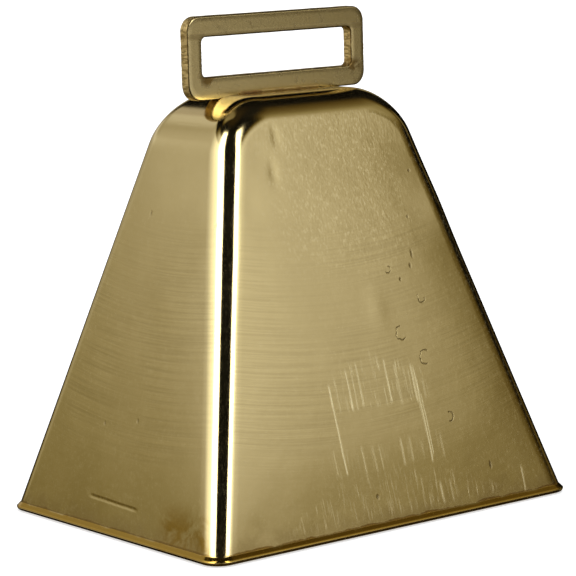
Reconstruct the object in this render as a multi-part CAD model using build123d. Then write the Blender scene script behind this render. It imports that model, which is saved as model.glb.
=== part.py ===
from build123d import *

import os
from math import cos, hypot, radians, sin, sqrt, tan

# Sheet-steel cowbell: a drawn bell shell with a strap loop brazed on its crown and a swinging clapper.
#
# Units are millimetres. +Z is up, +X runs along the wide walls, and the origin is the middle of the mouth
# plane. The bell stands on its mouth. The clapper hangs from a wire staple brazed under the crown: a link hooks
# over the staple's bar and swings about X, and the clapper's eye hooks over the link's bottom bar and swings
# about Y. Each piece is a solid of its own, written to parts/NAME.step.

# Shell: four flat walls with one draft angle, measured on the outside.
mouth_width = 100.0
mouth_depth = 76.5
crown_height = 92.3
draft_angle = 15.6
wall = 1.2
shoulder_radius = 14.8  # where the narrow end walls turn over into the crown
edge_radius = 5.0  # along both wide walls' outlines
lip_height = 1.8
lip_flare = 0.6  # how far the lip stands out past the straight wall
lip_corner_radius = 4.0
rim_round = 0.6  # on the mouth's outer edge

# Strap loop: a stamped plate ring that stands on the crown.
loop_width = 49.2
loop_height = 17.4
loop_thickness = 2.65
loop_corner_radius = 3.2
loop_edge_radius = 0.3
loop_offset = -1.0  # it is brazed on a little to one side of the middle
slot_width = 41.4
slot_height = 8.6
slot_corner_radius = 1.2
lower_rail = 4.2

# Braze along the loop's foot.
loop_braze_leg = 0.5
loop_braze_length = 22.0

# Staple under the crown.
staple_wire = 3.2
staple_span = 12.0  # between the legs' centres
staple_drop = 9.1  # from the crown's underside to the bar's centre
staple_bend = 3.4
staple_braze_leg = 1.3

# Link between the staple and the clapper.
link_wire = 2.8
link_width = 8.8  # between the long sides' centres
link_bend = 3.0
link_reach = 10.0  # from the staple bar's centre down to the link's bottom bar
hook_clearance = 0.05  # between two wires that hang on each other

# Clapper.
stem_wire = 3.2
eye_radius = 4.6  # of the eye's centreline
eye_neck_bend = 3.0
eye_end_angle = -55.0  # where the eye's wire ends, beside the stem
ball_radius = 9.5
ball_height = 16.0  # of the ball's centre above the mouth plane
ball_hole_clearance = 0.02
ball_flat = 0.4  # depth of the flats under the collar and over the peened end
collar_radius = 2.5
collar_height = 1.4
collar_round = 0.45
peen_radius = 2.7
peen_height = 1.1
peen_round = 0.9

draft_slope = tan(radians(draft_angle))
lip_slope = draft_slope + lip_flare / lip_height
fillet_hollow = 1 - sqrt(0.5)  # how far a hollow bead's middle stands off its corner, for legs of 1
crown_underside = crown_height - wall
staple_bar_height = crown_underside - staple_drop
link_bar_height = staple_bar_height - link_reach


def tapered(half, height):
    """A wall's distance from the middle at a height, from its distance at the mouth plane."""
    return half - draft_slope * height


def wall_profile(half, top):
    """The trapezoid between two opposite drafted walls, from the mouth plane up to top."""
    return Polyline(
        (-half, 0),
        (half, 0),
        (tapered(half, top), top),
        (-tapered(half, top), top),
        close=True,
    )


def bell_form(inset):
    """The bell's solid form without its lip, with every wall and the crown moved inwards by inset."""
    run = inset / cos(radians(draft_angle))
    top = crown_height - inset
    front = make_face(wall_profile(mouth_width / 2 - run, top))
    front = fillet(front.vertices().group_by(Axis.Y)[-1], shoulder_radius - inset)
    side = make_face(wall_profile(mouth_depth / 2 - run, top))
    drawn_front = extrude(Plane.XZ * front, mouth_depth, both=True)
    drawn_side = extrude(Plane.YZ * side, mouth_width, both=True)
    form = drawn_front & drawn_side
    faces = form.faces().sort_by(Axis.Y)
    outline = [edge for face in (faces[0], faces[-1]) for edge in face.edges() if edge.center().Z > wall]
    return fillet(outline, edge_radius - inset)


def lip_form(form, inset):
    """The flared foot of a bell form, from its section at lip_height out to the rim at the mouth plane."""
    rim_width = mouth_width + 2 * (lip_flare - inset)
    rim_depth = mouth_depth + 2 * (lip_flare - inset)
    rim = RectangleRounded(rim_width, rim_depth, lip_corner_radius - inset)
    waist = section(form, Plane.XY.offset(lip_height))
    return loft([waist.face(), rim.face()], ruled=True)


def bell_shell():
    """One drawn sheet: the crown, the four walls and the flared lip."""
    above_lip = Pos(0, 0, lip_height) * Box(
        2 * mouth_width, 2 * mouth_depth, crown_height, align=(Align.CENTER, Align.CENTER, Align.MIN)
    )
    outer_walls = bell_form(0.0)
    inner_walls = bell_form(wall)
    outside = (outer_walls & above_lip) + lip_form(outer_walls, 0.0)
    inside = (inner_walls & above_lip) + lip_form(inner_walls, wall * hypot(1, lip_slope))
    shell = outside - inside
    rim_edges = shell.faces().sort_by(Axis.Z)[0].outer_wire().edges()
    return fillet(rim_edges, rim_round)


def strap_loop():
    """The plate ring, standing on the crown in the XZ plane."""
    outer = Pos(loop_offset, crown_height + loop_height / 2) * RectangleRounded(
        loop_width, loop_height, loop_corner_radius
    )
    slot = Pos(loop_offset, crown_height + lower_rail + slot_height / 2) * RectangleRounded(
        slot_width, slot_height, slot_corner_radius
    )
    ring = extrude(Plane.XZ * (outer - slot), loop_thickness / 2, both=True)
    faces = ring.faces().sort_by(Axis.Y)
    return fillet(faces[0].outer_wire().edges() + faces[-1].outer_wire().edges(), loop_edge_radius)


def loop_braze(side):
    """The bead in the corner between the loop's foot and the crown, in front (-1) or behind (+1)."""
    foot = side * loop_thickness / 2
    toe = foot + side * loop_braze_leg
    top = crown_height + loop_braze_leg
    hollow = loop_braze_leg * fillet_hollow
    outline = [
        Line((foot, crown_height), (toe, crown_height)),
        ThreePointArc((toe, crown_height), (foot + side * hollow, crown_height + hollow), (foot, top)),
        Line((foot, top), (foot, crown_height)),
    ]
    bead = extrude(Plane.YZ * make_face(outline), loop_braze_length / 2, both=True)
    return Pos(loop_offset, 0, 0) * bead


def wire_along(path, diameter):
    """A round wire that follows a path."""
    return sweep(Plane(origin=path @ 0, z_dir=path % 0) * Circle(diameter / 2), path=path)


def clapper_staple():
    """The U of wire under the crown. Its bar runs along X."""
    leg = staple_span / 2
    path = FilletPolyline(
        (-leg, 0, crown_underside),
        (-leg, 0, staple_bar_height),
        (leg, 0, staple_bar_height),
        (leg, 0, crown_underside),
        radius=staple_bend,
    )
    return wire_along(path, staple_wire)


def staple_braze(side):
    """The collar of braze round one of the staple's legs."""
    wire = staple_wire / 2
    toe = wire + staple_braze_leg
    hollow = staple_braze_leg * fillet_hollow
    outline = [
        Line((wire, 0), (toe, 0)),
        ThreePointArc((toe, 0), (wire + hollow, -hollow), (wire, -staple_braze_leg)),
        Line((wire, -staple_braze_leg), (wire, 0)),
    ]
    collar = revolve(Plane.XZ * make_face(outline), Axis.Z)
    return Pos(side * staple_span / 2, 0, crown_underside) * collar


def clapper_link():
    """A closed link in the YZ plane: its top bar hangs over the staple, and its bottom bar holds the clapper."""
    top_bar = staple_bar_height + (staple_wire + link_wire) / 2 + hook_clearance
    height = top_bar - link_bar_height
    outline = Pos(0, link_bar_height + height / 2) * RectangleRounded(link_width, height, link_bend)
    path = (Plane.YZ * outline).face().outer_wire()
    return wire_along(path, link_wire)


def clapper_stem():
    """Wire bent into an eye at the top and peened over below the ball, with a swaged collar above it."""
    wire = stem_wire / 2
    eye_height = link_bar_height + link_wire / 2 + hook_clearance - (eye_radius - wire)
    neck_height = eye_height - sqrt(eye_radius**2 + 2 * eye_radius * eye_neck_bend)
    neck_share = eye_neck_bend / (eye_radius + eye_neck_bend)
    neck_centre = Vector(-eye_neck_bend, 0, neck_height)
    eye_centre = Vector(0, 0, eye_height)
    joint = neck_centre + (eye_centre - neck_centre) * neck_share
    neck_direction = (joint - neck_centre + Vector(eye_neck_bend, 0, 0)).normalized()
    neck_middle = neck_centre + neck_direction * eye_neck_bend
    end_angle = radians(eye_end_angle)
    eye_end = eye_centre + Vector(cos(end_angle), 0, sin(end_angle)) * eye_radius
    ball_bottom = ball_height - ball_radius + ball_flat
    foot = Vector(0, 0, ball_bottom)
    neck = Vector(0, 0, neck_height)
    path = Wire(
        [
            Line(foot, neck).edge(),
            ThreePointArc(neck, neck_middle, joint).edge(),
            ThreePointArc(joint, eye_centre + Vector(0, 0, eye_radius), eye_end).edge(),
        ]
    )
    lowest = (Align.CENTER, Align.CENTER, Align.MIN)
    ball_top = ball_height + ball_radius - ball_flat
    collar = Pos(0, 0, ball_top) * Cylinder(collar_radius, collar_height, align=lowest)
    collar = fillet(collar.edges(), collar_round)
    peen = Pos(0, 0, ball_bottom - peen_height) * Cylinder(peen_radius, peen_height, align=lowest)
    peen = fillet(peen.edges().sort_by(Axis.Z)[0], peen_round)
    return wire_along(path, stem_wire) + collar + peen


def clapper_ball():
    """A steel ball drilled through for the stem, with a flat at each end of the hole."""
    flat_to_flat = 2 * (ball_radius - ball_flat)
    ball = Sphere(ball_radius) & Box(2 * ball_radius, 2 * ball_radius, flat_to_flat)
    hole = Cylinder(stem_wire / 2 + ball_hole_clearance, 2 * ball_radius)
    return Pos(0, 0, ball_height) * (ball - hole)


pieces = {
    "bell_shell": bell_shell(),
    "strap_loop": strap_loop(),
    "loop_braze_front": loop_braze(-1),
    "loop_braze_rear": loop_braze(1),
    "clapper_staple": clapper_staple(),
    "staple_braze_left": staple_braze(-1),
    "staple_braze_right": staple_braze(1),
    "clapper_link": clapper_link(),
    "clapper_stem": clapper_stem(),
    "clapper_ball": clapper_ball(),
}

os.makedirs("parts", exist_ok=True)
for name, shape in pieces.items():
    export_step(shape, f"parts/{name}.step")
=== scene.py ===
from math import cos, radians, sin, tan

import bmesh
import bpy
import numpy as np
from mathutils import Matrix, Vector, noise


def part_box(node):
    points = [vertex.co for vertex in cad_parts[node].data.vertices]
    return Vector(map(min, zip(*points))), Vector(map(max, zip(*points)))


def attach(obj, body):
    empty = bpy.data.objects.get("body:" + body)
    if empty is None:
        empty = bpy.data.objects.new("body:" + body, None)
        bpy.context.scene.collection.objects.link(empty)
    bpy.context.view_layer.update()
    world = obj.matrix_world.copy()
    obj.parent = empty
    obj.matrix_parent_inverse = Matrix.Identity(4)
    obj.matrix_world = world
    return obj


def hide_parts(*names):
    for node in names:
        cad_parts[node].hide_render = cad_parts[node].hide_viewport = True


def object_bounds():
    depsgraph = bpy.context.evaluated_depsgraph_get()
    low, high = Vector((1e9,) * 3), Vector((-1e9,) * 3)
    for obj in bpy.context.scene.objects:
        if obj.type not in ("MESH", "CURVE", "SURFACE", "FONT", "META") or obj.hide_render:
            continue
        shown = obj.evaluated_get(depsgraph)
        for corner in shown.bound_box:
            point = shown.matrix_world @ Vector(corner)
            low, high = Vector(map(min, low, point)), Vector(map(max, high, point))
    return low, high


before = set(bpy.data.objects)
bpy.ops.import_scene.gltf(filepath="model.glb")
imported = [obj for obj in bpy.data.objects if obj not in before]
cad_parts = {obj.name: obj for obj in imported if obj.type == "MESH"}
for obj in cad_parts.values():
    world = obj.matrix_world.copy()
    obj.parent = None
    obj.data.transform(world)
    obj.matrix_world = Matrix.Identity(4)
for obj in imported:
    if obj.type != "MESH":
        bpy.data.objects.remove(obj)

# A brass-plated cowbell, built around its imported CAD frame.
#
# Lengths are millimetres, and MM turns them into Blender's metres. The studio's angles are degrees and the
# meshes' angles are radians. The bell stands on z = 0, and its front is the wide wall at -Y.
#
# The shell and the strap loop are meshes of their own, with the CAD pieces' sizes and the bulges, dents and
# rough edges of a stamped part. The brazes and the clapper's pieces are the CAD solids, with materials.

cad_low, cad_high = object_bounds()
MM = 0.001

# Shell sizes, as the CAD has them.
mouth_half_width = 50.0
mouth_half_depth = 38.25
crown_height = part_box("bell_shell")[1].z / MM
draft = radians(15.6)
wall = 1.2
shoulder_radius = 14.8
lip_height = 1.8
lip_flare = 0.6

# Shell sizes that follow the photographed bell, where the CAD is simpler.
corner_radius_at_mouth = 4.4
corner_radius_at_shoulder = 5.4
corner_radius_at_crown = 7.2
rim_round = 0.85
wide_wall_bulge = 0.24
narrow_wall_bulge = 0.15

# Strap loop sizes, as the CAD has them.
loop_low, loop_high = (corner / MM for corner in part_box("strap_loop"))
loop_corner_radius = 3.2
lower_rail = 4.2
slot_half_width = 20.7
slot_height = 8.6
slot_corner_radius = 1.2
slot_bottom = loop_low.z + lower_rail
slot_top = slot_bottom + slot_height

# Strap loop sizes that follow the photographed bell: its rolled edges, rough cut edges and sagging foot.
front_edge_round = 0.42
rear_edge_round = 0.2
upright_ridges = 0.08
level_ridges = 0.012
cut_back = 0.04
left_droop = 0.8
right_droop = 0.35

# Soft dents in the shell: x, y and z of the middle, radius across, radius up, and depth.
dents = [
    (-13.1, -14.5, 83.2, 1.0, 2.6, 0.060),
    (-15.5, -16.5, 76.0, 1.1, 2.6, 0.080),
    (-18.0, -16.0, 79.5, 2.5, 2.0, 0.025),
    (-23.0, -18.0, 70.7, 2.4, 3.0, 0.030),
    (5.2, -25.5, 45.0, 2.4, 4.6, -0.035),
    (30.0, -19.5, 67.5, 6.0, 7.0, -0.150),
    (-30.0, -19.0, 66.0, 7.0, 8.0, -0.130),
    (-37.0, -36.5, 4.5, 1.6, 3.0, 0.030),
    (-48.0, -26.0, 5.0, 5.0, 4.0, 0.030),
]


# ---------------------------------------------------------------- meshes

def smoothstep(low, high, value):
    """0 below low, 1 above high, and a smooth rise between them."""
    share = np.clip((value - low) / (high - low), 0, 1)
    return share * share * (3 - 2 * share)


def mesh_from_grids(name, grids):
    """One mesh object from (grid of points, material index) pairs. Points closer than merge become one."""
    merge = 0.002
    sharp_angle = radians(50)
    mesh = bmesh.new()
    for grid, material_index in grids:
        rows = [[mesh.verts.new(Vector(point) * MM) for point in row] for row in grid]
        for low, high in zip(rows, rows[1:]):
            for corners in zip(low, low[1:], high[1:], high):
                mesh.faces.new(corners).material_index = material_index
    bmesh.ops.remove_doubles(mesh, verts=mesh.verts, dist=merge * MM)
    bmesh.ops.dissolve_degenerate(mesh, edges=mesh.edges, dist=merge * MM)
    bmesh.ops.recalc_face_normals(mesh, faces=mesh.faces)
    data = bpy.data.meshes.new(name)
    mesh.to_mesh(data)
    mesh.free()
    data.shade_smooth()
    data.set_sharp_from_angle(angle=sharp_angle)
    piece = bpy.data.objects.new(name, data)
    bpy.context.scene.collection.objects.link(piece)
    return piece


def shell_outline(inset):
    """The shell's right side seen from the front, from the mouth up over the shoulder.

    Gives each row's x, z and tilt, and the height where the straight wall ends.
    """
    rim_rows, wall_rows, shoulder_rows = 9, 64, 19
    radius = shoulder_radius - inset
    centre_z = crown_height - inset - radius
    half_width = mouth_half_width - inset / cos(draft)
    centre_x = half_width - tan(draft) * centre_z - radius / cos(draft)
    tangent_z = centre_z + radius * sin(draft)
    rim_z = rim_round * (1 - np.cos(np.linspace(0, np.pi / 2, rim_rows)))
    kink_z = lip_height + np.array([-0.6, -0.3, -0.05, 0, 0.05, 0.3])
    wall_z = np.concatenate([rim_z, kink_z, np.linspace(lip_height + 1, tangent_z, wall_rows)])
    wall_x = half_width - tan(draft) * wall_z
    turn = np.linspace(draft, np.pi / 2, shoulder_rows)[1:]
    x = np.concatenate([wall_x, centre_x + radius * np.cos(turn)])
    z = np.concatenate([wall_z, centre_z + radius * np.sin(turn)])
    tilt = np.concatenate([np.full(len(wall_z), draft), turn])
    return x, z, tilt, tangent_z


def lip_offset(z, rounding):
    """How far the sheet stands out of the straight wall at a height.

    The lip is a straight flare down to an upright, rounded rim. rounding is the rim's edge radius, and is
    negative on the inside skin.
    """
    radius = abs(rounding)
    below = max(radius - z, 0)
    flare = lip_flare * (1 - max(z - radius, 0) / (lip_height - radius))
    turned_in = radius - np.sqrt(radius**2 - below**2)
    return flare - tan(draft) * below - np.sign(rounding) * turned_in


def sheet_offset(point, normal):
    """The stamped sheet's departure from its true form, along the normal: bulging walls, waves and dents."""
    x, y, z = point
    corner_reach = 4
    half_width = mouth_half_width - tan(draft) * z - corner_reach
    half_depth = mouth_half_depth - tan(draft) * z - corner_reach
    between_ends = smoothstep(1, 20, z) * (1 - smoothstep(68, 86, z))
    across_wide = max(0, 1 - (x / half_width) ** 4)
    across_narrow = max(0, 1 - (y / half_depth) ** 4)
    wide_bulge = wide_wall_bulge * across_wide * abs(normal[1]) ** 8
    narrow_bulge = narrow_wall_bulge * across_narrow * abs(normal[0]) ** 8
    bulge = between_ends * (wide_bulge + narrow_bulge)
    place = Vector(point)
    long_waves = 0.016 * noise.noise(place / 13)
    short_waves = 0.004 * noise.noise(place / 5 + Vector((7, 3, 1)))
    pressed = 0
    for dent_x, dent_y, dent_z, across, up, depth in dents:
        level = ((x - dent_x) ** 2 + (y - dent_y) ** 2) / across**2
        pressed += depth * np.exp(-level - ((z - dent_z) / up) ** 2)
    return smoothstep(0.3, 4, z) * (bulge + (long_waves + short_waves) - pressed)


def shell_skin(inset, rounding):
    """The shell's outside (inset 0) or inside (inset of the wall) as grids of points, and its mouth's outline.

    The first grid is the band over both narrow walls and the crown, with the rounded corners along its two
    edges. The other two are the wide walls. A corner's section is the arc of a ball that touches both sides.
    """
    x, z, tilt, tangent_z = shell_outline(inset)
    half_depth = mouth_half_depth - inset / cos(draft)
    columns, corner_steps, band_steps = 66, 12, 36
    crown_tilt = 1.2  # where the corners reach their radius at the crown
    level_share = 0.6  # of the straight wall's height, below which the rows are level
    crown_x = np.linspace(x[-1], -x[-1], columns + 1)[1:-1]
    path_x = np.concatenate([x, crown_x, -x[::-1]])
    path_z = np.concatenate([z, np.full(len(crown_x), z[-1]), z[::-1]])
    path_tilt = np.concatenate([tilt, np.full(len(crown_x), np.pi / 2), tilt[::-1]])
    side = np.concatenate([np.ones(len(x)), np.zeros(len(crown_x)), -np.ones(len(x))])
    growth = (corner_radius_at_shoulder - corner_radius_at_mouth) * np.clip(path_z / tangent_z, 0, 1)
    growth += (corner_radius_at_crown - corner_radius_at_shoulder) * smoothstep(draft, crown_tilt, path_tilt)
    radius = corner_radius_at_mouth + growth - inset
    centre_x = path_x - radius * np.cos(path_tilt) * side
    centre_z = path_z - radius * np.sin(path_tilt)
    centre_y = half_depth - tan(draft) * centre_z - radius / cos(draft)

    def place(point, normal, row_z):
        """Moves a point of the true form to where the sheet is, on level rows in the lip and the walls."""
        if row_z <= tangent_z:
            level = 1 - smoothstep(level_share * tangent_z, tangent_z, row_z)
            drop = (point[2] - row_z) * level
            down_wall = np.array([np.sign(point[0]) * tan(draft), np.sign(point[1]) * tan(draft), -1])
            point = point + down_wall * drop
        if row_z < lip_height:
            level_normal = np.array([normal[0], normal[1], 0]) / np.hypot(normal[0], normal[1])
            point = point + level_normal * lip_offset(row_z, rounding)
        return point + normal * sheet_offset(point, normal)

    strip = []
    for k, row_z in enumerate(path_z):
        band_normal = np.array([side[k] * np.cos(path_tilt[k]), 0, np.sin(path_tilt[k])])
        arcs = []
        for front in (-1, 1):
            wide_normal = np.array([0, front * cos(draft), sin(draft)])
            centre = np.array([centre_x[k], front * centre_y[k], centre_z[k]])
            between = np.arccos(band_normal @ wide_normal)
            arc = []
            for share in np.linspace(0, 1, corner_steps + 1):
                normal = sin((1 - share) * between) * wide_normal + sin(share * between) * band_normal
                normal = normal / sin(between)
                arc.append(place(centre + radius[k] * normal, normal, row_z))
            arcs.append(arc)
        band = []
        for share in np.linspace(-1, 1, band_steps + 1)[1:-1]:
            band.append(place(np.array([path_x[k], share * centre_y[k], row_z]), band_normal, row_z))
        strip.append(arcs[0] + band + arcs[1][::-1])

    walls = []
    for front in (-1, 1):
        wide_normal = np.array([0, front * cos(draft), sin(draft)])
        rows = []
        for k in range(len(x)):
            right = np.array([centre_x[k], front * centre_y[k], centre_z[k]]) + radius[k] * wide_normal
            across = np.linspace(1, -1, columns + 1)
            rows.append([place(right * np.array([share, 1, 1]), wide_normal, path_z[k]) for share in across])
        walls.append(rows)
    mouth = strip[0] + walls[1][0][1:] + strip[-1][::-1][1:] + walls[0][0][::-1][1:]
    return [strip] + walls, mouth


def bell_shell():
    """The drawn sheet: an outside skin, an inside skin and the flat of the rim between them."""
    outside, outer_mouth = shell_skin(0, rim_round)
    inside, inner_mouth = shell_skin(wall, -rim_round / 3)
    outer = np.array(outer_mouth)
    inner = np.array(inner_mouth)
    rim = [outer + (inner - outer) * share for share in (0, 0.5, 1)]
    grids = [(grid, 0) for grid in outside + [rim]] + [(grid, 1) for grid in inside]
    piece = mesh_from_grids("bell_shell_sheet", grids)
    piece.data.materials.append(shell_brass())
    piece.data.materials.append(inside_brass())
    return piece


def rounded_rectangle(half_width, half_height, radius, width_steps, height_steps, corner_steps):
    """Points round a rounded rectangle about the origin, from the foot of its right side."""
    points = []
    previous = np.array([half_width - radius, radius - half_height])
    for quarter, (right, up) in enumerate([(1, 1), (-1, 1), (-1, -1), (1, -1)]):
        centre = np.array([right * (half_width - radius), up * (half_height - radius)])
        outward = radius * np.array([cos(quarter * np.pi / 2), sin(quarter * np.pi / 2)])
        steps = width_steps if quarter % 2 else height_steps
        for share in np.arange(steps) / steps:
            points.append(previous + outward + (centre - previous) * share)
        for share in np.arange(corner_steps) / corner_steps:
            angle = (quarter + share) * np.pi / 2
            points.append(centre + radius * np.array([cos(angle), sin(angle)]))
        previous = centre
    return np.array(points)


def strap_section(half_reach, half_thickness):
    """A sheared strap's cross-section, as distances out and back from its middle."""
    edge_steps, face_steps, round_points = 9, 4, 6
    corners = []
    for turn, (out, back) in enumerate([(1, -1), (1, 1), (-1, 1), (-1, -1)]):
        bevel = front_edge_round if back < 0 else rear_edge_round
        angles = (turn - 1 + np.linspace(0, 1, round_points)) * np.pi / 2
        reach = out * (half_reach - bevel) + bevel * np.cos(angles)
        depth = back * (half_thickness - bevel) + bevel * np.sin(angles)
        corners.append(np.stack([reach, depth], axis=1))
    section = []
    for turn, corner in enumerate(corners):
        steps = face_steps if turn % 2 else edge_steps
        shares = np.linspace(0, 1, steps + 1)[1:-1, None]
        following = corners[(turn + 1) % 4]
        section += list(corner) + list(corner[-1] + (following[0] - corner[-1]) * shares)
    return section + section[:1]


def strap_loop():
    """The stamped plate ring, with the ridges that the shears left on its cut edges."""
    steps = {"width_steps": 110, "height_steps": 60, "corner_steps": 14}
    middle = (loop_low + loop_high) / 2
    half_size = (loop_high - loop_low) / 2
    outer = rounded_rectangle(half_size.x, half_size.z, loop_corner_radius, **steps)
    inner = rounded_rectangle(slot_half_width, (slot_top - slot_bottom) / 2, slot_corner_radius, **steps)
    inner[:, 1] += (slot_bottom + slot_top) / 2 - middle.z
    rows = []
    for inner_point, outer_point in zip(inner, outer):
        across = outer_point - inner_point
        half_reach = np.hypot(*across) / 2
        outward = across / (2 * half_reach)
        row = []
        for reach, depth in strap_section(half_reach, half_size.y):
            flat = (inner_point + outer_point) / 2 + outward * reach
            point = Vector((middle.x + flat[0], middle.y + depth, middle.z + flat[1]))
            cut = smoothstep(half_reach - 0.3, half_reach - 0.1, abs(reach))
            ridges = noise.noise(Vector((0.4 * point.x, 0.35 * depth, 2.4 * point.z)))
            unevenness = 0.03 * noise.noise(point / 2.5)
            ridge_depth = upright_ridges * abs(outward[0]) ** 4 + level_ridges
            shift = cut * np.sign(reach) * (ridge_depth * ridges + unevenness - cut_back)
            at_foot = 1 - smoothstep(loop_low.z + 0.5, slot_bottom, point.z)
            end_droop = left_droop if point.x < 0 else right_droop
            droop = at_foot * smoothstep(4, 19, abs(point.x)) * end_droop
            row.append((point.x + outward[0] * shift, point.y, point.z + outward[1] * shift - droop))
        rows.append(row)
    piece = mesh_from_grids("strap_loop_plate", [(rows + rows[:1], 0)])
    piece.data.materials.append(loop_brass())
    return piece


# ---------------------------------------------------------------- node trees

class Nodes:
    """Writes a node tree as expressions: each method adds a node and gives its output.

    Inputs are other nodes' outputs or values.
    """

    def __init__(self, tree):
        self.tree = tree
        tree.nodes.clear()

    def feed(self, socket, value):
        if isinstance(value, bpy.types.NodeSocket):
            self.tree.links.new(value, socket)
        else:
            socket.default_value = value

    def add(self, kind, inputs=(), **settings):
        """Adds any node and gives the node itself."""
        node = self.tree.nodes.new(kind)
        for setting, value in settings.items():
            setattr(node, setting, value)
        for name, value in dict(inputs).items():
            self.feed(node.inputs[name], value)
        return node

    def math(self, operation, *values):
        return self.add("ShaderNodeMath", enumerate(values), operation=operation).outputs[0]

    def vector(self, operation, *values, output=0):
        return self.add("ShaderNodeVectorMath", enumerate(values), operation=operation).outputs[output]

    def scale(self, vector, factor):
        node = self.add("ShaderNodeVectorMath", {0: vector, "Scale": factor}, operation="SCALE")
        return node.outputs[0]

    def split(self, vector):
        return self.add("ShaderNodeSeparateXYZ", {0: vector}).outputs

    def join(self, x, y, z=0.0):
        return self.add("ShaderNodeCombineXYZ", {0: x, 1: y, 2: z}).outputs[0]

    def sum(self, *values):
        total = values[0]
        for value in values[1:]:
            total = self.math("ADD", total, value)
        return total

    def product(self, *values):
        total = values[0]
        for value in values[1:]:
            total = self.math("MULTIPLY", total, value)
        return total

    def ramp(self, value, low, high, to_low=0.0, to_high=1.0, kind="SMOOTHSTEP"):
        inputs = {"Value": value, "From Min": low, "From Max": high, "To Min": to_low, "To Max": to_high}
        return self.add("ShaderNodeMapRange", inputs, interpolation_type=kind).outputs["Result"]

    def window(self, value, low, high, edge):
        """1 from low to high, falling to 0 over edge outside them."""
        rise = self.ramp(value, low - edge, low)
        return self.product(rise, self.ramp(value, high, high + edge, 1.0, 0.0))

    def noise(self, vector, scale=1.0, detail=2.0, roughness=0.5, distortion=0.0):
        inputs = {"Vector": vector, "Scale": scale, "Detail": detail, "Roughness": roughness}
        inputs["Distortion"] = distortion
        return self.add("ShaderNodeTexNoise", inputs).outputs[0]

    def mix(self, factor, first, second):
        values = {"Factor": factor, "A": first, "B": second}
        node = self.add("ShaderNodeMix", data_type="RGBA")
        for socket in node.inputs:
            if socket.enabled and socket.name in values:
                self.feed(socket, values[socket.name])
        return next(socket for socket in node.outputs if socket.enabled)

    def colour_ramp(self, value, stops):
        node = self.add("ShaderNodeValToRGB", {"Fac": value})
        elements = node.color_ramp.elements
        elements[0].position, elements[0].color = stops[0]
        elements[1].position, elements[1].color = stops[-1]
        for position, colour in stops[1:-1]:
            elements.new(position).color = colour
        return node.outputs["Color"]


def new_material(name):
    material = bpy.data.materials.new(name)
    material.use_nodes = True
    return material, Nodes(material.node_tree)


def metal(nodes, colour, roughness, height, metallic=1.0):
    """The metal shader. height is in micrometres."""
    bump = nodes.add("ShaderNodeBump", {"Height": height, "Distance": 1e-6, "Strength": 1.0})
    inputs = {"Base Color": colour, "Roughness": roughness, "Metallic": metallic, "Normal": bump.outputs[0]}
    shader = nodes.add("ShaderNodeBsdfPrincipled", inputs)
    nodes.add("ShaderNodeOutputMaterial", {"Surface": shader.outputs[0]})


def own_place(nodes):
    """A piece's own coordinates, in millimetres."""
    return nodes.scale(nodes.add("ShaderNodeTexCoord").outputs["Object"], 1 / MM)


def own_facing(nodes):
    """The x, y and z of the direction that a piece's surface faces."""
    return nodes.split(nodes.add("ShaderNodeTexCoord").outputs["Normal"])


# ---------------------------------------------------------------- materials

def strokes(nodes, along, height, marks, low, high):
    """Straight marks that run up and down a wall. marks are (place along, bottom, top, half width, strength).

    One colour ramp from low to high along the wall holds them all. Its red is a mark's strength, and its green
    and blue are the mark's bottom and top, as shares of tallest.
    """
    tallest = 100.0
    stops = []
    for middle, bottom, top, half_width, strength in sorted(marks):
        ends = (bottom / tallest, top / tallest)
        for place, amount in ((middle - half_width, 0), (middle, strength), (middle + half_width, 0)):
            stops.append(((place - low) / (high - low), (amount, *ends, 1)))
    colour = nodes.colour_ramp(nodes.ramp(along, low, high, kind="LINEAR"), stops)
    channels = nodes.add("ShaderNodeSeparateColor", {0: colour}).outputs
    bottom = nodes.product(channels[1], tallest)
    top = nodes.product(channels[2], tallest)
    above = nodes.ramp(nodes.math("SUBTRACT", height, bottom), -0.5, 0.8)
    below = nodes.ramp(nodes.math("SUBTRACT", top, height), -0.5, 1.2)
    return nodes.product(channels[0], above, below)


def ring_mark(nodes, along, height, middle, radius, half_width, gap_towards):
    """A ring with one side open, as a hook or a clamp leaves. gap_towards is where it's open, in degrees."""
    away = nodes.join(nodes.math("SUBTRACT", along, middle[0]), nodes.math("SUBTRACT", height, middle[1]))
    distance = nodes.vector("LENGTH", away, output=1)
    off_line = nodes.math("ABSOLUTE", nodes.math("SUBTRACT", distance, radius))
    line = nodes.ramp(off_line, 0.0, half_width, 1.0, 0.0)
    direction = (cos(radians(gap_towards)), sin(radians(gap_towards)), 0)
    towards_gap = nodes.vector("DOT_PRODUCT", away, direction, output=1)
    return nodes.product(line, nodes.ramp(towards_gap, 0.1 * radius, 0.6 * radius, 1.0, 0.0))


def spot(nodes, along, height, middle, half_along, half_height):
    """A soft oval, 1 in its middle and 0 at its edge."""
    across = nodes.math("DIVIDE", nodes.math("SUBTRACT", along, middle[0]), half_along)
    up = nodes.math("DIVIDE", nodes.math("SUBTRACT", height, middle[1]), half_height)
    return nodes.ramp(nodes.vector("LENGTH", nodes.join(across, up), output=1), 0.0, 1.0, 1.0, 0.0)


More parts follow.
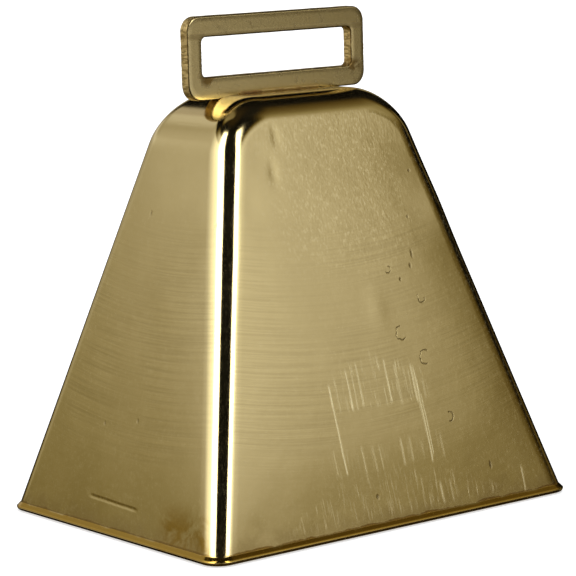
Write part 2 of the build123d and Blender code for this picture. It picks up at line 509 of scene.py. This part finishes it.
def sheet_texture(nodes, place, z, wide, peel_area):
    """The height of what the sheet and the plating left: orange peel, upright grain and soft ripples."""
    peel = nodes.noise(place, scale=1.3, detail=2.0)
    fine_peel = nodes.noise(place, scale=3.2, detail=1.0)
    specks = nodes.ramp(nodes.noise(nodes.vector("MULTIPLY", place, (1.5, 1.5, 0.9)), detail=1.0), 0.55, 0.72)
    peel_sum = nodes.sum(peel, nodes.product(fine_peel, 0.3), nodes.product(specks, 0.25))
    peel_height = nodes.product(peel_sum, nodes.math("MULTIPLY_ADD", peel_area, 3.6, 1.6))
    grain = nodes.noise(nodes.vector("MULTIPLY", place, (1.5, 1.5, 0.28)), detail=2.0)
    grain_area = nodes.math("MULTIPLY_ADD", nodes.product(nodes.ramp(z, 74.0, 84.0), wide), 5.0, 0.4)
    grain_height = nodes.product(grain, grain_area)
    ripple = nodes.noise(place, scale=0.28, detail=1.0)
    ripple_height = nodes.product(ripple, nodes.math("MULTIPLY_ADD", peel_area, 5.0, 7.0))
    return nodes.sum(peel_height, grain_height, ripple_height)


def polishing_lines(nodes, place, x, y, z, wide):
    """Polishing lines that sweep across the walls in wide arcs, and how strong they are from place to place."""
    along = nodes.sum(nodes.product(x, wide), nodes.product(y, nodes.math("SUBTRACT", 1.0, wide)))
    from_centre = nodes.join(nodes.sum(along, 3.0), nodes.sum(z, -190.0))
    arc_radius = nodes.vector("LENGTH", from_centre, output=1)
    arc_line = nodes.join(nodes.product(arc_radius, 1.8), nodes.product(along, 0.03))
    lines = nodes.noise(arc_line, detail=3.0, roughness=0.6)
    patches = nodes.ramp(nodes.noise(place, scale=0.055, detail=1.0), 0.38, 0.62, 0.35, 1.0)
    return lines, nodes.product(patches, nodes.window(z, 24.0, 58.0, 12.0))


def front_scratches(nodes, place, x, y, z):
    """Scratches where the bell rubbed as it hung, and fine hatching between them."""
    drift = nodes.product(nodes.noise(place, scale=0.1, detail=1.0), 0.6)
    scratch_x = nodes.sum(nodes.math("MULTIPLY_ADD", z, 0.02, x), drift, -0.8)

    # The marks are in groups because a colour ramp holds at most 32 stops and its marks can't overlap.
    upper_marks = [
        (-12.1, 12.8, 32.0, 0.35, 0.9), (-10.3, 25.5, 33.0, 0.3, 0.4), (-8.2, 25.5, 29.0, 0.3, 0.5),
        (-6.9, 25.5, 34.5, 0.32, 0.9), (-5.5, 25.5, 34.0, 0.25, 0.4), (-3.8, 26.0, 35.6, 0.32, 0.8),
        (0.6, 31.0, 38.0, 0.25, 0.4), (4.2, 25.8, 35.4, 0.4, 0.8), (6.9, 25.0, 34.0, 0.6, 0.45),
    ]
    more_marks = [
        (-14.6, 13.0, 18.5, 0.3, 0.4), (-2.0, 12.5, 18.0, 0.3, 0.4), (2.4, 33.0, 36.5, 0.3, 0.5),
        (9.2, 27.0, 33.0, 0.25, 0.4), (10.2, 26.0, 32.5, 0.25, 0.5), (11.2, 25.0, 33.4, 0.35, 1.0),
        (11.85, 12.0, 33.0, 0.26, 1.0), (12.45, 13.5, 26.5, 0.22, 0.7), (13.7, 25.5, 30.0, 0.35, 0.5),
        (15.4, 12.5, 18.0, 0.3, 0.4),
    ]
    lower_marks = [
        (-6.9, 12.5, 18.5, 0.35, 0.5), (-3.8, 12.5, 18.0, 0.3, 0.5), (4.2, 12.5, 18.5, 0.35, 0.6),
        (6.6, 13.0, 18.5, 0.3, 0.5), (12.7, 3.0, 8.0, 0.5, 0.5), (15.5, 3.0, 8.0, 0.35, 0.4),
        (36.6, 1.5, 7.7, 0.3, 0.7),
    ]
    groups = (upper_marks, more_marks, lower_marks)
    scratches = nodes.sum(*[strokes(nodes, scratch_x, z, marks, -25.0, 45.0) for marks in groups])

    # The hatching is a block under an arch, tails below it, and a patch near the foot.
    arch = nodes.math("MULTIPLY_ADD", nodes.math("MULTIPLY", x, x), -0.02, 36.5)
    under_arch = nodes.ramp(nodes.math("SUBTRACT", arch, z), -1.0, 2.5)
    block = nodes.product(under_arch, nodes.ramp(z, 25.0, 26.0), nodes.window(x, -12.0, 14.0, 1.5))
    tails = nodes.product(nodes.window(z, 13.0, 17.5, 1.5), nodes.window(x, -15.0, 16.0, 2.0), 0.35)
    hump = nodes.math("MULTIPLY_ADD", nodes.math("MULTIPLY", x, x), -0.009, 12.5)
    ragged_edge = nodes.product(nodes.noise(place, scale=0.25), 4.0)
    under_hump = nodes.ramp(nodes.sum(hump, nodes.product(z, -1.0), ragged_edge, -2.0), -0.3, 0.8)
    foot_patch = nodes.product(under_hump, nodes.ramp(z, 2.0, 4.0), nodes.window(x, -30.0, 28.0, 4.0))
    hatch_line = nodes.join(nodes.product(x, 1.7), nodes.product(z, 0.10), nodes.product(y, 0.3))
    hatch = nodes.ramp(nodes.noise(hatch_line, detail=3.0, roughness=0.65), 0.52, 0.72)
    hatched = nodes.product(hatch, nodes.sum(block, tails, nodes.product(foot_patch, 0.7)))
    return nodes.math("MINIMUM", nodes.sum(scratches, nodes.product(hatched, 0.55)), 1.0)


def nick_marks(nodes, x, y, z, jitter, front, left):
    """Nicks: open rings and spots on the front, and spots on the left wall."""
    nick_x = nodes.sum(x, jitter)
    front_nicks = nodes.sum(
        ring_mark(nodes, nick_x, z, (10.5, 39.8), 1.5, 0.22, 20),
        ring_mark(nodes, nick_x, z, (15.9, 34.0), 1.5, 0.22, -10),
        ring_mark(nodes, nick_x, z, (19.4, 20.7), 1.0, 0.22, 180),
        ring_mark(nodes, nick_x, z, (18.0, 46.5), 1.0, 0.2, 60),
        ring_mark(nodes, nick_x, z, (10.3, 53.4), 0.7, 0.2, 150),
        spot(nodes, x, z, (17.8, 56.1), 0.5, 1.3),
        spot(nodes, x, z, (16.75, 53.6), 0.5, 0.8),
        spot(nodes, x, z, (13.2, 51.0), 0.5, 0.6),
        spot(nodes, x, z, (28.3, 9.0), 0.5, 1.2),
        spot(nodes, x, z, (21.9, 73.7), 0.5, 0.5),
        spot(nodes, x, z, (18.8, 64.0), 0.5, 0.5),
        spot(nodes, x, z, (-4.8, 7.2), 0.6, 0.8),
    )
    left_nicks = nodes.sum(
        spot(nodes, y, z, (6.25, 67.5), 0.6, 1.0),
        spot(nodes, y, z, (-16.7, 66.9), 0.5, 0.8),
        spot(nodes, y, z, (8.75, 22.7), 0.5, 0.7),
        spot(nodes, y, z, (-2.9, 24.7), 0.5, 0.7),
    )
    all_nicks = nodes.sum(nodes.product(front_nicks, front), nodes.product(left_nicks, left))
    return nodes.math("MINIMUM", all_nicks, 1.0)


def pressed_marks(nodes, y, z, jitter, facing, left):
    """What is pressed into the left wall: a crease near its foot, and a stamp's faint frame near its top."""
    above_crease = nodes.sum(z, nodes.product(y, -0.029), nodes.product(jitter, 0.1), -7.1)
    crease_line = nodes.ramp(nodes.math("ABSOLUTE", above_crease), 0.0, 0.6, 1.0, 0.0)
    crease = nodes.product(crease_line, nodes.window(y, -7.0, 8.0, 2.0), left)
    frame_y = nodes.sum(nodes.math("ABSOLUTE", nodes.sum(y, -0.65)), -3.95)
    frame_z = nodes.sum(nodes.math("ABSOLUTE", nodes.sum(z, -85.3)), -1.4)
    off_frame = nodes.math("ABSOLUTE", nodes.math("MAXIMUM", frame_y, frame_z))
    frame_line = nodes.ramp(off_frame, 0.0, 0.35, 1.0, 0.0)
    stamp = nodes.product(frame_line, nodes.ramp(facing[0], -0.7, -0.5, 1.0, 0.0))
    return crease, stamp


def shell_brass():
    """Thin bright brass plating over a stamped and polished sheet, scratched, nicked and stained, with painted
    highlights and glints, and painted shade at the rim's foot.
    """
    material, nodes = new_material("shell_brass_plate")
    place = own_place(nodes)
    x, y, z = nodes.split(place)
    facing = own_facing(nodes)
    front = nodes.ramp(facing[1], -0.93, -0.8, 1.0, 0.0)
    wide = nodes.ramp(nodes.math("ABSOLUTE", facing[1]), 0.75, 0.93)
    left = nodes.ramp(facing[0], -0.93, -0.8, 1.0, 0.0)
    peel_area = nodes.product(nodes.window(z, 66.0, 86.0, 16.0), nodes.window(x, -10.0, 12.0, 12.0), wide)
    jitter = nodes.product(nodes.sum(nodes.noise(place, scale=0.9, detail=2.0), -0.5), 1.6)

    texture_height = sheet_texture(nodes, place, z, wide, peel_area)
    lines, line_area = polishing_lines(nodes, place, x, y, z, wide)
    scratched = nodes.product(front, front_scratches(nodes, place, x, y, z))
    nicks = nick_marks(nodes, x, y, z, jitter, front, left)
    crease, stamp = pressed_marks(nodes, y, z, jitter, facing, left)

    # Painted glints: short bright dashes in the orange peel, on the flat of the walls.
    dashes = nodes.noise(nodes.vector("MULTIPLY", place, (2.2, 2.2, 0.8)), detail=2.0, roughness=0.6)
    on_flat = nodes.ramp(facing[2], 0.32, 0.42, 1.0, 0.0)
    dash_area = nodes.product(nodes.math("MULTIPLY_ADD", peel_area, 0.3, 0.09), on_flat)
    bright = nodes.math("MAXIMUM", scratched, nodes.product(nodes.ramp(dashes, 0.5, 0.72), dash_area))

    # Stains: a tarnished foot, more of it at the near corner, a golden rim under a ragged line, and a dull
    # line at the top of the walls.
    blotch = nodes.noise(place, scale=0.16, detail=4.0, roughness=0.62, distortion=0.6)
    foot = nodes.ramp(nodes.sum(z, nodes.product(blotch, 10.0)), 5.0, 12.0, 1.0, 0.0)
    corner_foot = nodes.product(left, nodes.window(y, -34.0, -21.0, 6.0), nodes.ramp(z, 4.0, 12.0, 1.0, 0.0))
    corner_stain = nodes.product(corner_foot, nodes.ramp(blotch, 0.38, 0.6))
    ragged = nodes.math("MULTIPLY_ADD", nodes.sum(blotch, -0.5), 1.6, z)
    rim_band = nodes.product(nodes.ramp(z, 0.7, 0.9), nodes.ramp(ragged, 1.6, 2.0, 1.0, 0.0))
    front_and_left = nodes.math("MULTIPLY_ADD", left, 0.7, front)
    lip_line = nodes.product(nodes.window(ragged, 1.8, 2.0, 0.25), front_and_left)
    top_band = nodes.product(nodes.window(z, 88.8, 90.2, 0.8), nodes.ramp(facing[2], 0.3, 0.6))
    all_stains = nodes.sum(nodes.product(foot, 0.35), nodes.product(corner_stain, 0.35),
                           nodes.product(lip_line, 0.6), nodes.product(top_band, 0.3))
    stain = nodes.math("MINIMUM", all_stains, 1.0)

    cloud = nodes.ramp(nodes.noise(place, scale=0.06, detail=3.0), 0.3, 0.7)
    swept = nodes.mix(cloud, (0.78, 0.64, 0.31, 1), (0.82, 0.675, 0.33, 1))
    line_shade = nodes.product(nodes.ramp(lines, 0.35, 0.62, 1.0, 0.0), line_area, 0.24)
    plating = nodes.mix(line_shade, swept, (0.42, 0.33, 0.14, 1))
    # Painted highlight: the real scratches and the glint dashes get a lighter colour here, and a less metallic
    # finish below, so they shine as if lit.
    worn = nodes.mix(nodes.product(bright, 0.9), plating, (0.90, 0.78, 0.46, 1))
    pitted = nodes.mix(nodes.product(nicks, 0.5), worn, (0.16, 0.09, 0.02, 1))
    gilt = nodes.math("MAXIMUM", rim_band, corner_stain)
    golden = nodes.mix(nodes.product(gilt, 0.85), pitted, (0.58, 0.36, 0.03, 1))
    # Painted shade: the rim's lowest 0.5 to 0.7 mm, where it meets the floor, is painted nearly black.
    painted_rim_shade = nodes.mix(nodes.ramp(z, 0.5, 0.7, 0.92, 0.0), golden, (0.03, 0.02, 0.005, 1))
    colour = nodes.mix(stain, painted_rim_shade, (0.30, 0.17, 0.03, 1))

    smudges = nodes.ramp(nodes.noise(place, scale=0.12, detail=4.0, roughness=0.6), 0.35, 0.75)
    roughness = nodes.sum(0.085, nodes.product(smudges, 0.03), nodes.product(scratched, 0.26),
                          nodes.product(stain, 0.16), nodes.product(nicks, 0.2), nodes.product(lines, 0.03))
    line_height = nodes.product(lines, nodes.math("MULTIPLY_ADD", line_area, 6.0, 1.4))
    height = nodes.sum(texture_height, line_height, nodes.product(scratched, -2.0),
                       nodes.product(nicks, -20.0), nodes.product(blotch, stain, 3.0),
                       nodes.product(crease, -24.0), nodes.product(stamp, -5.0))
    # Less metallic where the scratches and glints are painted lighter, as part of the painted highlight.
    metallic = nodes.sum(1.0, nodes.product(bright, -0.62), nodes.product(rim_band, front, -0.12))
    metal(nodes, colour, roughness, height, metallic)
    return material


def inside_brass():
    """The plating inside the bell, which was never polished: drawing lines from the press and dull stains."""
    material, nodes = new_material("shell_brass_inside")
    place = own_place(nodes)
    drawn = nodes.noise(nodes.vector("MULTIPLY", place, (1.2, 1.2, 0.07)), detail=4.0)
    blotch = nodes.noise(place, scale=0.09, detail=5.0, roughness=0.65)
    stain = nodes.ramp(blotch, 0.45, 0.72)
    colour = nodes.mix(nodes.product(stain, 0.7), (0.70, 0.52, 0.20, 1), (0.34, 0.20, 0.06, 1))
    grain = nodes.noise(place, scale=2.5, detail=3.0)
    roughness = nodes.sum(0.26, nodes.product(stain, 0.2), nodes.product(drawn, 0.1))
    height = nodes.sum(nodes.product(drawn, 9.0), nodes.product(grain, 4.0))
    metal(nodes, colour, roughness, height, metallic=0.72)
    return material


def loop_brass():
    """The loop's plating over sheared plate: ridged cut edges, stains in the slot's lower corners, and a
    painted dark reflection along the rounded edges.
    """
    material, nodes = new_material("loop_brass_plate")
    place = own_place(nodes)
    x, _, z = nodes.split(place)
    flatness = nodes.math("ABSOLUTE", own_facing(nodes)[1])
    edge = nodes.ramp(flatness, 0.5, 0.8, 1.0, 0.0)
    grain = nodes.noise(place, scale=1.6, detail=3.0, roughness=0.6)
    brushed = nodes.noise(nodes.vector("MULTIPLY", place, (0.35, 1.0, 2.5)), detail=3.0)
    sheared = nodes.noise(nodes.vector("MULTIPLY", place, (2.2, 0.4, 4.0)), detail=3.0)
    corners = []
    for side in (-1, 1):
        corners.append(spot(nodes, x, z, (side * (slot_half_width - 0.3), slot_bottom - 0.2), 3.4, 2.6))
    speckle = nodes.noise(place, scale=0.55, detail=4.0, roughness=0.65)
    stain = nodes.math("MINIMUM", nodes.sum(
        nodes.product(nodes.sum(*corners), nodes.ramp(speckle, 0.36, 0.52), 1.5),
        nodes.product(nodes.ramp(speckle, 0.56, 0.74), 0.45),
        nodes.product(nodes.window(z, slot_top, slot_top + 0.5, 0.6), 0.35)), 1.0)
    plating = nodes.mix(grain, (0.74, 0.60, 0.29, 1), (0.84, 0.70, 0.36, 1))
    beads = nodes.ramp(nodes.noise(nodes.vector("MULTIPLY", place, (0.5, 0.5, 1.9))), 0.42, 0.56)
    cut = nodes.mix(nodes.product(edge, 0.6), plating, (0.80, 0.58, 0.22, 1))
    torn = nodes.mix(nodes.product(edge, nodes.math("SUBTRACT", 1.0, beads), 0.6), cut, (0.22, 0.13, 0.02, 1))
    stained = nodes.mix(nodes.product(stain, 0.85), torn, (0.22, 0.12, 0.02, 1))
    # Painted dark reflection: a dark line, broken up by speckle, along the rounded edges between the loop's
    # faces and its cut edges.
    painted_edge_reflection = nodes.product(nodes.window(flatness, 0.35, 0.84, 0.1), nodes.ramp(speckle, 0.3, 0.5))
    colour = nodes.mix(nodes.product(painted_edge_reflection, 0.9), stained, (0.08, 0.045, 0.01, 1))
    roughness = nodes.sum(0.2, nodes.product(brushed, 0.08), nodes.product(edge, 0.2),
                          nodes.product(stain, 0.15))
    height = nodes.sum(nodes.product(grain, 9.0), nodes.product(brushed, 1.5),
                       nodes.product(edge, nodes.sum(sheared, beads), 40.0), nodes.product(stain, -5.0))
    metal(nodes, colour, roughness, height)
    return material


def braze_metal():
    """Brazing alloy: rounded, pitted and darkened by heat."""
    material, nodes = new_material("braze")
    place = own_place(nodes)
    lumps = nodes.noise(place, scale=0.9, detail=4.0, roughness=0.6)
    heat = nodes.ramp(nodes.noise(place, scale=0.3, detail=3.0), 0.4, 0.65)
    colour = nodes.mix(heat, (0.66, 0.47, 0.18, 1), (0.30, 0.17, 0.06, 1))
    pits = nodes.ramp(nodes.noise(place, scale=3.0, detail=2.0), 0.3, 0.42, 1.0, 0.0)
    roughness = nodes.sum(0.3, nodes.product(heat, 0.2), nodes.product(pits, 0.2))
    metal(nodes, colour, roughness, nodes.sum(nodes.product(lumps, 60.0), nodes.product(pits, -15.0)))
    return material


def wire_brass():
    """Plated wire of the staple: drawing lines along it and the plating rubbed off where the link hangs."""
    material, nodes = new_material("staple_brass_plate")
    place = own_place(nodes)
    x, _, z = nodes.split(place)
    grain = nodes.noise(place, scale=1.8, detail=3.0)
    drawn = nodes.noise(nodes.vector("MULTIPLY", place, (0.25, 5.0, 2.0)), detail=3.0)
    rubbed = nodes.product(nodes.window(x, -2.6, 2.6, 1.4), nodes.ramp(z, 80.8, 83.0, 1.0, 0.0))
    plating = nodes.mix(grain, (0.70, 0.51, 0.20, 1), (0.80, 0.62, 0.27, 1))
    colour = nodes.mix(nodes.product(rubbed, 0.8), plating, (0.56, 0.55, 0.53, 1))
    roughness = nodes.sum(0.24, nodes.product(grain, 0.1), nodes.product(rubbed, 0.12))
    metal(nodes, colour, roughness, nodes.sum(nodes.product(drawn, 5.0), nodes.product(grain, 5.0)))
    return material


def steel(name, tint, dull, worn_low, worn_high):
    """Steel with a dull grey skin that is bright where it rubs, between two heights."""
    material, nodes = new_material(name)
    place = own_place(nodes)
    height = nodes.split(place)[2]
    grain = nodes.noise(place, scale=1.4, detail=5.0, roughness=0.62)
    patches = nodes.ramp(nodes.noise(place, scale=0.35, detail=4.0), 0.4, 0.65)
    rust = nodes.ramp(nodes.noise(place, scale=0.7, detail=5.0, roughness=0.7), 0.6, 0.72)
    worn = nodes.product(nodes.window(height, worn_low, worn_high, 1.2), nodes.ramp(grain, 0.35, 0.55))
    skin = nodes.mix(patches, tint, tuple(0.72 * channel for channel in tint[:3]) + (1,))
    polished = nodes.mix(nodes.product(worn, 0.8), skin, (0.72, 0.70, 0.66, 1))
    colour = nodes.mix(nodes.product(rust, 0.6), polished, (0.24, 0.11, 0.05, 1))
    roughness = nodes.sum(dull, nodes.product(patches, 0.12), nodes.product(rust, 0.2),
                          nodes.product(worn, -0.14))
    scuffs = nodes.noise(nodes.vector("MULTIPLY", place, (3.0, 0.4, 1.2)), detail=3.0)
    relief = nodes.sum(nodes.product(grain, 9.0), nodes.product(scuffs, 6.0))
    metal(nodes, colour, roughness, relief, metallic=0.8)
    return material


# ---------------------------------------------------------------- studio

camera_bearing = -38.221
camera_elevation = 8.701
camera_roll = -1.617
camera_distance = 616.61
camera_target = Vector((0, 0, 50))
camera_pan = (0.769, -1.843)
camera_lens = 173.163
floor_half_size = 3000
floor_gap = 0.2


def make_camera():
    bearing, elevation = radians(camera_bearing), radians(camera_elevation)
    back = Vector((sin(bearing) * cos(elevation), -cos(bearing) * cos(elevation), sin(elevation)))
    right = Matrix.Rotation(radians(camera_roll), 3, back) @ Vector((cos(bearing), sin(bearing), 0))
    up = back.cross(right)
    place = camera_target + back * camera_distance + right * camera_pan[0] + up * camera_pan[1]
    data = bpy.data.cameras.new("camera")
    data.lens = camera_lens
    data.clip_start = 0.05
    data.clip_end = 20
    camera = bpy.data.objects.new("camera", data)
    turn = Matrix((right, up, back)).transposed().to_4x4()
    camera.matrix_world = Matrix.Translation(place * MM) @ turn
    bpy.context.scene.collection.objects.link(camera)
    bpy.context.scene.camera = camera


def panel(nodes, bearing, elevation, sides, heights, strength, lean=0.0):
    """A soft light panel of the studio. sides and heights are where its brightness starts, is full, and ends.

    sides are bearings and heights elevations. lean tips the panel's top and bottom edges.
    """
    middle = (sides[1] + sides[2]) / 2
    from_middle = nodes.math("WRAP", nodes.sum(bearing, -middle), 180.0, -180.0)
    across = nodes.product(nodes.ramp(from_middle, sides[0] - middle, sides[1] - middle),
                           nodes.ramp(from_middle, sides[2] - middle, sides[3] - middle, 1.0, 0.0))
    level = nodes.math("MULTIPLY_ADD", from_middle, -lean, elevation) if lean else elevation
    up = nodes.product(nodes.ramp(level, heights[0], heights[1]),
                       nodes.ramp(level, heights[2], heights[3], 1.0, 0.0))
    return nodes.product(across, up, strength)


def make_studio():
    """Soft panels that only reflections see, in a white surround for everything else.

    Bearings are measured round from the front wall's direction, -Y, towards +X.
    """
    world = bpy.data.worlds.new("studio")
    world.use_nodes = True
    bpy.context.scene.world = world
    nodes = Nodes(world.node_tree)
    direction = nodes.add("ShaderNodeTexCoord").outputs["Generated"]
    x, y, z = nodes.split(direction)
    degree = 180 / np.pi
    bearing = nodes.product(nodes.math("ARCTAN2", x, nodes.product(y, -1.0)), degree)
    elevation = nodes.product(nodes.math("ARCSINE", z), degree)
    least_light = 0.001
    panels = [
        # The two tall lights on either side of the camera, with the dark gap between them.
        ((-3, -1, 10, 24), (17, 21, 54, 60), 4.4, -0.2),
        ((-106, -84, -66, -63), (15, 21, 62, 68), 4.4, 0.1),
        ((-146, -104, -90, -80), (2, 16, 50, 57), 0.8),
        # The reflectors that the front wall and the loop's face show.
        ((2, 14, 14, 46), (5, 16.5, 22, 34), 1.06),
        ((4, 16, 40.5, 47), (5, 16.5, 22, 40), 0.38),
        ((30, 38, 42, 70), (-2, 16, 24, 40), 0.14),
        ((36, 46, 70, 90), (18, 28, 30, 60), 0.27),
        ((-30, -10, 32, 45), (-20, -14, -3, 2), 0.64),
        # The ones that the left wall, its shoulder and the loop's end show.
        ((-161, -136, -96, -88), (-4, 15, 38, 43), 0.7),
        ((-191, -189, -158, -140), (6, 22, 40, 43), 0.42),
        ((-191, -189, -168, -156), (28, 36, 40, 43), 0.2),
        ((-170, -150, -60, -30), (-30, -16, -4, 0), 0.56),
        # Dimmer ones for the sides that face away from the camera, overhead and below.
        ((-90, -78, -8, 2), (-12, 2, 13, 19), 0.42),
        ((84, 88, 92, 96), (9, 14, 22, 30), 0.2),
        ((50, 60, 84, 102), (-20, -8, 5, 10), 0.11),
        ((124, 130, 137, 141), (3, 8, 19, 28), 0.32),
        ((143, 147, 200, 216), (-2, 5, 16, 24), 0.4),
        ((60, 80, 190, 206), (-28, -22, -14, -11), 0.25),
        ((160, 176, 214, 230), (58, 68, 84, 89), 0.3),
        ((-181, -180, 180, 181), (70, 82, 91, 92), 0.02),
        ((-181, -180, 180, 181), (-92, -91, -50, -36), 0.17),
    ]
    brightness = nodes.sum(*[panel(nodes, bearing, elevation, *numbers) for numbers in panels], least_light)
    warm = nodes.colour_ramp(brightness, [
        (0.0, (1.0, 0.62, 0.08, 1)), (0.1, (1.0, 0.72, 0.18, 1)), (0.24, (1.0, 0.86, 0.48, 1)),
        (0.47, (1.0, 0.94, 0.83, 1)), (0.64, (1.0, 0.97, 0.96, 1)), (1.0, (1.0, 1.0, 1.0, 1)),
    ])
    reflections = nodes.add("ShaderNodeBackground", {"Color": warm, "Strength": brightness})
    surround = nodes.add("ShaderNodeBackground", {"Color": (1, 1, 1, 1), "Strength": 1.0})
    glossy = nodes.add("ShaderNodeLightPath").outputs["Is Glossy Ray"]
    chosen = nodes.add("ShaderNodeMixShader", {0: glossy, 1: surround.outputs[0], 2: reflections.outputs[0]})
    nodes.add("ShaderNodeOutputWorld", {"Surface": chosen.outputs[0]})
    bpy.context.scene.view_settings.view_transform = "Standard"


def make_floor():
    """A pale floor just under the bell, which reflections don't see and which is clear from below."""
    material, nodes = new_material("floor_white")
    paper = nodes.add("ShaderNodeBsdfDiffuse", {"Color": (0.8, 0.8, 0.8, 1)})
    glow = nodes.add("ShaderNodeEmission", {"Color": (1, 1, 1, 1), "Strength": 0.55})
    lit = nodes.add("ShaderNodeAddShader", {0: paper.outputs[0], 1: glow.outputs[0]})
    clear = nodes.add("ShaderNodeBsdfTransparent")
    underside = nodes.add("ShaderNodeNewGeometry").outputs["Backfacing"]
    seen = nodes.add("ShaderNodeMixShader", {0: underside, 1: lit.outputs[0], 2: clear.outputs[0]})
    nodes.add("ShaderNodeOutputMaterial", {"Surface": seen.outputs[0]})
    half = floor_half_size
    corners = [[(-half, -half, 0), (half, -half, 0)], [(-half, half, 0), (half, half, 0)]]
    floor = mesh_from_grids("floor", [(corners, 0)])
    floor.data.materials.append(material)
    if floor.data.polygons[0].normal.z < 0:
        floor.data.flip_normals()
    floor.location.z = cad_low.z - floor_gap * MM
    floor.visible_glossy = False


# ---------------------------------------------------------------- the bell

make_camera()
make_studio()
make_floor()

for piece, node in ((bell_shell(), "bell_shell"), (strap_loop(), "strap_loop")):
    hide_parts(node)
    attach(piece, "bell")

# The CAD solids that show as they are, by material.
carried_over = {
    braze_metal(): ["loop_braze_front", "loop_braze_rear", "staple_braze_left", "staple_braze_right"],
    wire_brass(): ["clapper_staple"],
    steel("link_steel", (0.60, 0.57, 0.52, 1), 0.34, 70.5, 73.5): ["clapper_link"],
    steel("stem_steel", (0.55, 0.52, 0.48, 1), 0.38, 70.0, 76.0): ["clapper_stem"],
    steel("ball_steel", (0.51, 0.48, 0.43, 1), 0.40, 12.0, 20.0): ["clapper_ball"],
}
for material, names in carried_over.items():
    for name in names:
        for material_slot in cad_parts[name].material_slots:
            material_slot.material = material
